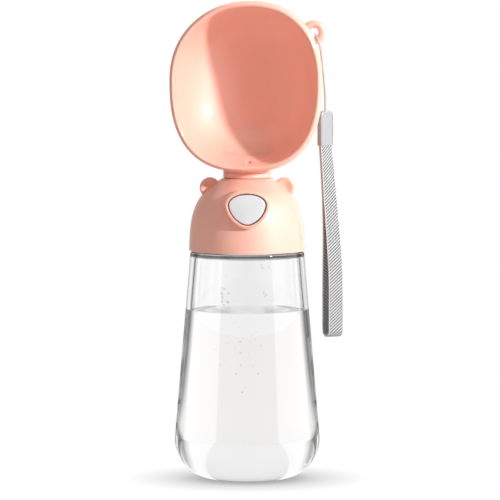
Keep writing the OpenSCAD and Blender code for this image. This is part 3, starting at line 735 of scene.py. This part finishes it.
def makeEar(side):
    half, back, front = head["earThickness"] / 2, head["earBack"], head["earFront"]
    r, dish, depth = head["earRadius"], head["earDish"], head["earDepth"]
    profile = [(nearAxis, -half)] + arc(r - back, -half + back, back, -90, 0, 8)
    profile += arc(r - front, half - front, front, 0, 90, 8)
    for i in range(1, 12):   # the dished face
        share = math.sin(math.pi / 2 * i / 12) ** head["earHollow"]
        profile.append((dish - dish * i / 12, half - depth * share))
    profile += [(nearAxis, half - depth)]
    ear = makeTool("ear", *lathe(toMetres(profile), head["earSteps"]))
    ear.data.transform(Matrix.Translation((side * head["earX"] * mm, 0, head["earZ"] * mm))
                       @ Matrix.Rotation(math.pi / 2, 4, "X"))
    return ear


# once round the shell's wall: up the dome, down the socket, back under the dome and down the skirt
def headProfile():
    low, top, edge, deck = head["low"], head["top"], head["edge"], head["deckTop"]
    radius, soft, corner = head["radius"], head["skirtRound"], head["skirtCorner"]
    socket, skirt, socketOut = head["socket"], head["skirt"], head["socket"] + head["socketWall"]
    profile = [(radius - soft, low), (radius - corner, low + corner), (radius, low + soft)] + headLine(0)[1:]
    under = [p for p in headLine(head["wall"]) if p[1] > deck + 1 and p[0] > socketOut + 0.2]
    profile += [(socket + edge, top), (socket, top - edge), (socket, head["socketLow"]),
                (socketOut, head["socketLow"]), (socketOut, under[-1][1])]
    profile += under[::-1]
    return profile + [(skirt - head["ledge"], deck), (skirt, deck), (skirt, low + edge), (skirt + edge, low)]


def makeHead():
    points, faces = lathe(toMetres(headProfile()), head["steps"], loop=True)
    shell = addPiece("bearHead", points, faces, "head", "head", [peach])
    mend(shell.data)
    for side in (1, -1):
        combine(shell, makeEar(side), "UNION")
    y, rim = head["snoutY"], head["rim"]
    snout = noseTool("snout", [(rim + 0.6, -18), (rim + 0.35, -25), (rim + 0.15, -29), (rim + 0.1, y + 1.0),
                               (rim - 0.02, y + 0.45), (rim - 0.25, y + 0.14), (rim - 0.6, y)])
    combine(shell, snout, "UNION")
    bore = noseTool("bore", [(0, -16), (0, y + 0.5), (0.15, y + 0.15), (0.5, y - 0.3)])
    combine(shell, bore, "DIFFERENCE")
    smooth(shell, 35)
    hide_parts("head_shell")


makeHead()
print("head made")

# Nose button
button = {
    "gap": 0.55, "thickness": 3.6, "recess": 0.3, "crown": 0.5, "crownRings": 16, "side": 1.2,
    "bevel": 0.75, "bevelHeight": 0.7, "bevelRings": 8, "backIn": 1.0, "backEdge": 0.3,
    "rodZ": 141.3, "bossRadius": 3.8, "bossBore": 2.42, "bossLength": 4, "bossFloor": 1, "bossSteps": 48,
}


def makeButton():
    edge, bevel = -button["gap"], button["bevel"]
    face = head["snoutY"] + button["recess"]
    back = face + button["thickness"]
    rings = [noseOutline(edge - button["backIn"], back), noseOutline(edge, back - button["backEdge"]),
             noseOutline(edge, face + button["side"])]
    for i in range(button["bevelRings"]):   # the crisp bevel at the edge
        a = math.pi / 2 * i / (button["bevelRings"] - 1)
        y = face + button["bevelHeight"] * (1 - math.sin(a))
        rings.append(noseOutline(edge - bevel * (1 - math.cos(a)), y))
    for i in range(1, button["crownRings"]):
        share = i / button["crownRings"]
        rings.append(noseOutline(edge - bevel, face - button["crown"] * (1 - (1 - share) ** 2), 1 - share))
    piece = addPiece("noseButton", *solidRings(rings), "button", "button", [buttonWhite])
    mend(piece.data)
    radius, bore, deep, floor = (button[k] for k in ("bossRadius", "bossBore", "bossLength", "bossFloor"))
    profile = [(nearAxis, 0), (radius, 0), (radius, deep), (bore, deep), (bore, floor), (nearAxis, floor)]
    boss = makeTool("boss", *lathe(toMetres(profile), button["bossSteps"]))
    boss.data.transform(Matrix.Translation((0, (back - floor) * mm, button["rodZ"] * mm))
                        @ Matrix.Rotation(-math.pi / 2, 4, "X"))
    combine(piece, boss, "UNION")
    smooth(piece, 50)
    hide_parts("nose_button")


makeButton()
print("button made")

# Cup
cup = {
    "halfWidth": 39.3, "up": 40.6, "down": 47.0, "fullUp": 2.16, "fullDown": 2.53, "skew": 2.2,
    "depth": 36.0, "wall": 2.2, "rim": 2.7, "step": 1.0, "rimY": 18.0, "bulge": 6.5, "fullInside": 2.4,
    # the outside from the bulge to the lip's step: how far behind the rim, and how far in
    "shoulder": ((6.5, 0), (5.4, 0.02), (4.4, 0.08), (3.7, 0.2),
                 (3.2, 0.42), (2.9, 0.7), (2.75, 0.9), (2.5, 1.0)),
    "lipRings": 12, "lipFront": 1.05, "lipDepth": 1.2, "backRings": 30, "bowlRings": 41, "middle": 0.9996,
    "widest": 206.4, "turn": -3.2, "points": 168,
    "eyeX": 34.3, "eyeY": 0.9, "eyeZ": 24.1, "eyeRadius": 4.3, "eyeSection": 2.0,
    "eyeSteps": 72, "eyeSides": 36,
    "stemTop": 158.6, "stemRadius": 12.4, "bossHeight": 22, "plug": 5.82, "plugTop": 161.9,
    "scoopOut": 0.4, "scoopGrow": 0.3, "outlet": (0.6, -5.4), "outletRadius": 1.7, "outletHeight": 9,
}


# the cup's egg outline as a ring, at a depth behind the rim
def eggRing(u, inset, scale):
    ring = []
    for k in range(cup["points"]):
        a = fullTurn * (k + 0.5) / cup["points"]
        upper = math.sin(a) > 0
        power = 2 / (cup["fullUp"] if upper else cup["fullDown"])
        tall = cup["up"] if upper else cup["down"]
        x = math.copysign(abs(math.cos(a)) ** power, math.cos(a)) * ((cup["halfWidth"] - inset) * scale)
        z = math.copysign(abs(math.sin(a)) ** power, math.sin(a)) * ((tall - inset) * scale)
        ring.append(((x + cup["skew"] * max(0, z / cup["up"]) ** 2) * mm, (u - cup["rimY"]) * mm, z * mm))
    return ring


# how small the outline has become at a share of the depth
def shrink(share, power):
    return (1 - min(share, 0.9999) ** power) ** (1 / power)


def cupPlace():
    return Matrix.Rotation(math.radians(cup["turn"]), 4, "Z") @ Matrix.Translation((0, 0, cup["widest"] * mm))


# rings down into the bowl; out and grow move them, for the tool that clears the boss
def bowlRings(first, out=0, grow=0):
    inside, rings = cup["depth"] - cup["wall"], []
    for i in range(first, cup["bowlRings"]):
        share = math.sin(math.radians(90 * i / cup["bowlRings"]))
        rings.append(eggRing(inside * share - out, cup["rim"] - grow, shrink(share, cup["fullInside"])))
    return rings


def cupShell():
    lip, step = (cup["rim"] - cup["step"]) / 2, cup["step"]
    bulge, back = cup["bulge"], cup["backRings"]
    rings = []
    for i in range(back, 0, -1):   # outside, from the back to the bulge
        share = math.sin(math.radians(90 * i / back)) if i < back else cup["middle"]
        rings.append(eggRing(bulge + (cup["depth"] - bulge) * share, 0, shrink(share, 2)))
    rings += [eggRing(u, inset, 1) for u, inset in cup["shoulder"]]
    for i in range(cup["lipRings"] + 1):   # the rounded lip
        a = math.pi * i / cup["lipRings"]
        rings.append(eggRing(lip - lip * math.sin(a) * cup["lipFront"], step + lip * (1 - math.cos(a)), 1))
    rings.append(eggRing(cup["lipDepth"], cup["rim"], 1))
    return solidRings(rings + bowlRings(1))


# the round boss over the stem, cut to the bowl
def cupBoss():
    boss = roundTool("boss", cup["stemRadius"], cup["stemTop"], cup["stemTop"] + cup["bossHeight"], 96)
    hollow = makeTool("hollow", *solidRings(bowlRings(0, cup["scoopOut"], cup["scoopGrow"])))
    hollow.data.transform(cupPlace())
    combine(boss, hollow, "DIFFERENCE")
    return boss


# the ring that the cord runs through
def cupEye():
    steps, sides, section = cup["eyeSteps"], cup["eyeSides"], cup["eyeSection"]
    points = []
    for i in range(steps):
        a = fullTurn * i / steps
        for k in range(sides):
            b = fullTurn * k / sides
            r = cup["eyeRadius"] + section * math.cos(b)
            points.append(((cup["eyeX"] + r * math.cos(a)) * mm, (cup["eyeY"] + section * math.sin(b)) * mm,
                           (cup["eyeZ"] + r * math.sin(a)) * mm))
    eye = makeTool("eye", points, ringFaces(steps, sides, loop=True))
    eye.data.transform(cupPlace())
    return eye


def makeCup():
    piece = addPiece("drinkingCup", *cupShell(), "cup", "cup", [peach])
    piece.data.transform(cupPlace())
    mend(piece.data)
    combine(piece, cupBoss(), "UNION")
    combine(piece, cupEye(), "UNION")
    combine(piece, roundTool("plug", cup["plug"], cup["stemTop"] - 1, cup["plugTop"], 72), "DIFFERENCE")
    x, y = cup["outlet"]
    top = cup["plugTop"]
    hole = roundTool("hole", cup["outletRadius"], top - 1, top + cup["outletHeight"], 48)
    hole.data.transform(Matrix.Translation((x * mm, y * mm, 0)))
    combine(piece, hole, "DIFFERENCE")
    smooth(piece, 35)
    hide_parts("cup")


makeCup()
print("cup made")

# Strap clamp
clamp = {
    "width": 9.6, "thickness": 3.2, "height": 17.8, "round": 0.8, "roundSteps": 6,
    "foot": ((0.5, 0), (0.15, 0.07), (0.03, 0.25), (0, 0.5)),   # drawn in by, at a height
    "taper": 2.6, "taperIn": 1.8, "taperThin": 0.3, "taperTurn": 84, "taperRings": 8,
    "slotPlay": 0.1, "slotRound": 0.2, "slotHeight": 7, "border": 1.1, "sunk": 0.18,
    "panelTop": 1.3, "panelSide": 2.4, "panelWidth": 0.72, "holeRadius": 0.6, "holeDepth": 3,
}


def roundedBox(w, t, r, z):
    ring, steps = [], clamp["roundSteps"]
    for sx, sy, start in ((1, 1, 0), (-1, 1, 90), (-1, -1, 180), (1, -1, 270)):
        for k in range(steps + 1):
            a = math.radians(start + 90 / steps * k)
            x, y = sx * (w / 2 - r) + r * math.cos(a), sy * (t / 2 - r) + r * math.sin(a)
            ring.append((x * mm, y * mm, z * mm))
    return ring


def clampBody():
    width, thickness, soft = clamp["width"], clamp["thickness"], clamp["round"]
    rings = [roundedBox(width - 2 * w, thickness - 2 * w, soft, z) for w, z in clamp["foot"]]
    for i in range(clamp["taperRings"] + 1):
        a = math.radians(clamp["taperTurn"] * i / clamp["taperRings"])
        w, t = clamp["taperIn"] * (1 - math.cos(a)), clamp["taperThin"] * (1 - math.cos(a))
        rings.append(roundedBox(width - 2 * w, thickness - 2 * t, soft,
                                clamp["height"] - clamp["taper"] * (1 - math.sin(a))))
    return solidRings(rings)


# the sunk panel on one face, narrower at its top
def clampPanel(face):
    wide, low, narrow = clamp["width"] / 2 - clamp["border"], clamp["border"], clamp["panelWidth"]
    side, top = clamp["height"] - clamp["panelSide"], clamp["height"] - clamp["panelTop"]
    outline = ((-1, low), (1, low), (1, side), (narrow, top), (-narrow, top), (-1, side))
    half = clamp["thickness"] / 2
    return makeTool("panel", *solidRings([[(wide * x * mm, y * mm, z * mm) for x, z in outline]
                                          for y in (face * (half - clamp["sunk"]), face * (half + 1))]))


# the hole in the clamp's top for one strand of the cord
def clampHole(end):
    top = clamp["height"]
    hole = roundTool("hole", clamp["holeRadius"], top - clamp["holeDepth"], top + 2, 24)
    y = (cord["eye"][1] + end[1] - strap["clamp"][1]) * mm
    hole.data.transform(Matrix.Rotation(math.radians(-strap["turn"]), 4, "Z") @ Matrix.Translation((0, y, 0)))
    return hole


def makeClamp():
    piece = addPiece("strapClamp", *clampBody(), "lanyard", "clamp", [clampWhite])
    size = strap["width"] + clamp["slotPlay"], 2 * (strap["thickness"] + strap["hold"]), clamp["slotRound"]
    slot = solidRings([roundedBox(*size, -1), roundedBox(*size, clamp["slotHeight"])])
    combine(piece, makeTool("slot", *slot), "DIFFERENCE")
    for face in (-1, 1):
        combine(piece, clampPanel(face), "DIFFERENCE")
    for end in (cord["route"][0], cord["route"][-1]):
        combine(piece, clampHole(end), "DIFFERENCE")
    piece.data.transform(Matrix.Translation(Vector(strap["clamp"]) * mm)
                         @ Matrix.Rotation(math.radians(strap["turn"]), 4, "Z"))
    smooth(piece, 35)
    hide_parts("strap_clamp")


makeClamp()
print("clamp made")

# Pieces kept from the solids
finishes = {
    "screw_collar": innerWhite, "valve_body": innerWhite, "chamber_plug": innerWhite,
    "rod_bush": innerWhite, "push_rod": innerWhite, "stem": peach,
    "mouth_gasket": siliconeSoft, "vent_valve": siliconeSoft, "valve_gasket": siliconeSoft,
    "chamber_o_ring": siliconeSoft, "rod_o_ring": siliconeSoft, "nozzle_o_ring": siliconeSoft,
    "poppet_seal": siliconeSoft, "stem_o_ring": siliconeSoft, "cup_gasket": siliconeSoft,
    "valve_screws": steelBright, "return_spring": steelBright, "stem_clip": steelBright,
}
for node, material in finishes.items():
    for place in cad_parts[node].material_slots:
        place.material = material
print("inner pieces finished")

# Floor, light and backdrop
light = {
    "key": {"place": (1.244, -0.839, 0.7), "size": 0.1, "power": 27, "gloss": None},
    "spark": {"place": (0.449, -0.398, 0.398), "size": 0.08, "power": 6, "gloss": True},
    "top": {"place": (0.2, 0.3, 1.6), "size": 0.9, "power": 3, "gloss": None},
    "aim": (0, 0, 0.13), "ambient": 0.46, "fill": (1.0, 0.85, 0.77),
    # brightness by degrees round from straight behind, left negative: mirrored by the clear parts,
    # as duller gloss shows it, and through the clear parts
    "mirror": ((-180, 0.3), (-131, 0.3), (-127, 2.6), (-64, 2.6), (-56, 0.5), (-50, 0.5), (-35, 1.0),
               (-26, 0.4), (-8, 0.4), (-4, 0.9), (4, 0.9), (8, 0.4), (26, 0.4),
               (35, 1.0), (50, 0.5), (56, 0.5), (64, 2.6), (127, 2.6), (131, 0.3), (180, 0.3)),
    "glossy": ((-180, 0.3), (-130, 0.7), (-94, 0.7), (-60, 0.4), (-30, 0.6),
               (0, 0.8), (25, 1.6), (50, 2.2), (130, 2.2), (150, 0.6), (180, 0.3)),
    "clear": ((-180, 0.3), (-130, 0.9), (-95, 0.9), (-85, 0.35), (-66, 0.35), (-62, 1.0), (-57, 1.0),
              (-53, 0.03), (-40, 0.03), (-36, 0.5), (-30, 0.92), (30, 0.92), (36, 0.5), (40, 0.03),
              (53, 0.03), (57, 1.0), (62, 1.0), (66, 0.35), (85, 0.35), (95, 0.9), (130, 0.9), (180, 0.3)),
    "ceiling": 1.8, "ceilingFrom": 0.55, "ceilingFull": 0.85,   # by how steeply a ray goes up
}
ground = {
    "radius": 0.5, "sides": 96, "drop": 0.0002, "grey": 0.8, "share": 0.15,
    # the painted contact shadow: how dark it gets, how far it reaches, and its samples
    "contact": 0.6, "contactReach": 0.03, "contactSamples": 8,
}


def makeLamp(name, place, size, power, gloss):
    data = bpy.data.lights.new(name, "AREA")
    data.shape = "DISK"
    data.size = size
    data.energy = power
    lamp = addObject(name, data)
    lamp.location = place
    aim = Vector(light["aim"]) - Vector(place)
    lamp.rotation_euler = aim.to_track_quat("-Z", "Y").to_euler()
    lamp.visible_camera = False
    if gloss is not None:   # the spark is seen in gloss alone, where it makes the sharp highlights
        lamp.visible_diffuse = lamp.visible_transmission = not gloss
        lamp.visible_glossy = gloss


# the brightness of the cards round the bottle, as steps of a ramp
def cards(group, share, stops):
    most = max(level for degrees, level in stops)
    node = group.nodes.new("ShaderNodeValToRGB")
    ramp = node.color_ramp.elements
    for i in range(len(stops) - 2):
        ramp.new(0.5)
    for stop, (degrees, level) in zip(ramp, stops):
        stop.position = degrees / 360 + 0.5
        stop.color = (level / most,) * 3 + (1,)
    feed(group, share, node.inputs["Fac"])
    return maths(group, "MULTIPLY", node.outputs["Color"], most)


# cards and dark gaps standing round the bottle, as its clear parts and its gloss show them
def roomGroup():
    group, inside, outside = newGroup(
        "studioRoom", {"Direction": "Vector", "Sharp": "Float", "Through": "Float", "Gloss": "Float"},
        {"Level": "Float", "Seen": "Float"})
    split = group.nodes.new("ShaderNodeSeparateXYZ")
    feed(group, inside.outputs["Direction"], split.inputs[0])
    turn = maths(group, "ARCTAN2", split.outputs["X"], split.outputs["Y"])
    share = maths(group, "ADD", maths(group, "DIVIDE", turn, fullTurn), 0.5)
    over = group.nodes.new("ShaderNodeMapRange")
    over.interpolation_type = "SMOOTHSTEP"
    over.inputs["From Min"].default_value = light["ceilingFrom"]
    over.inputs["From Max"].default_value = light["ceilingFull"]
    feed(group, split.outputs["Z"], over.inputs["Value"])
    walls = between(group, inside.outputs["Sharp"], cards(group, share, light["glossy"]),
                    cards(group, share, light["mirror"]))
    mirrored = between(group, over.outputs["Result"], walls, light["ceiling"])
    through = inside.outputs["Through"]
    gloss = maths(group, "MULTIPLY", inside.outputs["Gloss"], maths(group, "SUBTRACT", 1.0, through))
    level = maths(group, "ADD", maths(group, "MULTIPLY", through, cards(group, share, light["clear"])),
                  maths(group, "MULTIPLY", gloss, mirrored))
    feed(group, level, outside.inputs["Level"])
    feed(group, maths(group, "ADD", through, gloss), outside.inputs["Seen"])
    return group


studioRoom = roomGroup()


# the room as it is seen here: its level, and the masks of the plain rays and of the camera's
def placeRoom(tree, direction):
    node = placeGroup(tree, studioRoom)
    place = tree.nodes.new("ShaderNodeTexCoord")
    path = tree.nodes.new("ShaderNodeLightPath")
    feed(tree, place.outputs[direction], node.inputs["Direction"])
    rays = {"Sharp": "Is Singular Ray", "Through": "Is Transmission Ray", "Gloss": "Is Glossy Ray"}
    for name, ray in rays.items():
        feed(tree, path.outputs[ray], node.inputs[name])
    camera = path.outputs["Is Camera Ray"]
    rest = maths(tree, "SUBTRACT", maths(tree, "SUBTRACT", 1.0, node.outputs["Seen"]), camera)
    return node.outputs["Level"], rest, camera


def makeWorld():
    world = bpy.data.worlds.new("studio")
    bpy.context.scene.world = world
    world.use_nodes = True
    tree = world.node_tree
    tree.nodes.clear()
    level, rest, camera = placeRoom(tree, "Generated")
    strength = maths(tree, "ADD", maths(tree, "ADD", camera, level),
                     maths(tree, "MULTIPLY", rest, light["ambient"]))
    background = tree.nodes.new("ShaderNodeBackground")
    tint = blend(tree, rest, (1, 1, 1), light["fill"])   # the fill comes off a warm card
    feed(tree, tint, background.inputs["Color"])
    feed(tree, strength, background.inputs["Strength"])
    output = tree.nodes.new("ShaderNodeOutputWorld")
    feed(tree, background.outputs[0], output.inputs["Surface"])


# white to the camera, to glass and gloss a glow at the room's card levels, and a plain grey to other light; a
# painted contact shadow darkens both glows where the bottle stands
def floorMaterial():
    grey, share = ground["grey"], ground["share"]
    material = newMaterial("studioFloor", (grey, grey, grey), 0.9, **{"Specular IOR Level": 0.0})
    tree = material.node_tree
    level, rest, camera = placeRoom(tree, "Object")
    # painted contact shadow: ambient occlusion darkens the floor's glow near the bottle
    hidden = tree.nodes.new("ShaderNodeAmbientOcclusion")
    hidden.samples = ground["contactSamples"]
    hidden.inputs["Distance"].default_value = ground["contactReach"]
    paintedShadow = maths(tree, "SUBTRACT", 1.0, hidden.outputs["AO"])
    lit = maths(tree, "SUBTRACT", 1.0, maths(tree, "MULTIPLY", ground["contact"], paintedShadow))
    shown = maths(tree, "MULTIPLY", level, lit)
    colour = maths(tree, "ADD", maths(tree, "MULTIPLY", rest, grey), maths(tree, "MULTIPLY", shown, share))
    glow = maths(tree, "ADD", maths(tree, "MULTIPLY", camera, lit), maths(tree, "MULTIPLY", shown, 1 - share))
    feedShader(material, colour, "Base Color")
    feedShader(material, glow, "Emission Color")
    feedShader(material, 1.0, "Emission Strength")
    return material


def makeFloor():
    size, sides = ground["radius"], ground["sides"]
    angles = [fullTurn * k / sides for k in range(sides)]
    mesh = bpy.data.meshes.new("floor")
    mesh.from_pydata([(size * math.cos(a), size * math.sin(a), 0) for a in angles], [], [tuple(range(sides))])
    mesh.materials.append(floorMaterial())
    floor = addObject("floor", mesh)
    floor.location.z = -ground["drop"]


for name in ("key", "spark", "top"):
    makeLamp(name, **light[name])
makeWorld()
makeFloor()
bpy.context.scene.view_settings.view_transform = "Standard"

print("scene made")
